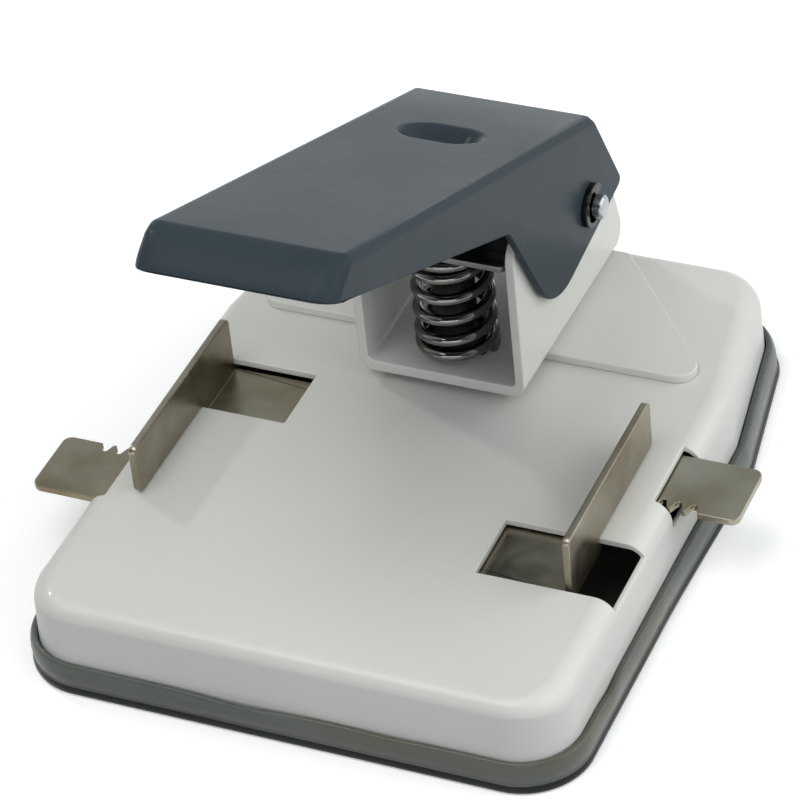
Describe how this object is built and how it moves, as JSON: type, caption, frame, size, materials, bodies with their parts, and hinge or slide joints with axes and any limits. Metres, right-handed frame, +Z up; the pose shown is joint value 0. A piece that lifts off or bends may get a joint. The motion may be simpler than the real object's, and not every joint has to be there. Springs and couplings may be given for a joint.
{
  "type": "plastic card punch",
  "caption": "Hand lever punch that cuts a hanging slot in a plastic card, with a sprung blade in a rear bracket, linked side guides and a soft chip tray.",
  "frame": {"origin": "on the desk, under the middle of the base", "axes": "+Z up, +Y to the back where the bracket stands, +X to the user's right; the card goes in along +Y"},
  "size_m": [0.1384, 0.144, 0.1109],
  "materials": {
    "cover_paint": "semi-gloss off-white paint",
    "lever_paint": "satin slate grey paint",
    "tray_vinyl": "soft satin vinyl",
    "nickel": "bright nickel plate",
    "steel": "zinc-plated steel",
    "dark_steel": "polished hardened steel",
    "black_oxide": "black oxide"
  },
  "bodies": {
    "base": {"base_cover": "cover_paint", "stop_plate": "cover_paint", "bracket": "cover_paint", "pivot_pin": "steel", "pivot_clips": "black_oxide", "return_spring": "dark_steel", "die_insert": "dark_steel", "die_clamp": "steel", "die_screws": "steel", "reinforcement_plate": "steel", "bracket_screws": "steel", "bracket_washers": "steel", "guide_keeper": "steel", "keeper_studs": "steel", "keeper_nuts": "steel", "pinion_stud": "steel"},
    "lever": {"lever": "lever_paint"},
    "plunger": {"punch": "steel", "punch_cap": "dark_steel", "cap_pin": "steel", "spring_plate": "steel"},
    "right_guide": {"right_guide": "nickel"},
    "left_guide": {"left_guide": "nickel"},
    "pinion": {"pinion": "steel"},
    "tray": {"chip_tray": "tray_vinyl"}
  },
  "joints": [
    {"name": "lever_hinge", "type": "hinge", "parent": "base", "child": "lever", "pos_m": [0, 0.04825, 0.0465], "axis": [1, 0, 0], "range_deg": [0, 15], "stiffness_Nm_per_rad": 4, "springref_deg": -11.46},
    {"name": "punch_slide", "type": "slide", "parent": "base", "child": "plunger", "axis": [0, 0, -1], "range_m": [0, 0.0069], "deforming": ["return_spring"]},
    {"name": "right_guide_slide", "type": "slide", "parent": "base", "child": "right_guide", "axis": [1, 0, 0], "range_m": [-0.0175, 0.007]},
    {"name": "left_guide_slide", "type": "slide", "parent": "base", "child": "left_guide", "axis": [-1, 0, 0], "range_m": [-0.0175, 0.007]},
    {"name": "pinion_spin", "type": "hinge", "parent": "base", "child": "pinion", "pos_m": [0, -0.01265, 0.0179], "axis": [0, 0, 1], "range_deg": [-126, 51]},
    {"name": "tray_pull", "type": "slide", "parent": "base", "child": "tray", "axis": [0, 0, -1], "range_m": [0, 0.03]}
  ],
  "couplings": [
    {"joint": "punch_slide", "follows": "lever_hinge", "m_per_rad": 0.0262},
    {"joint": "left_guide_slide", "follows": "right_guide_slide", "ratio": 1},
    {"joint": "pinion_spin", "follows": "right_guide_slide", "rad_per_m": 125}
  ]
}
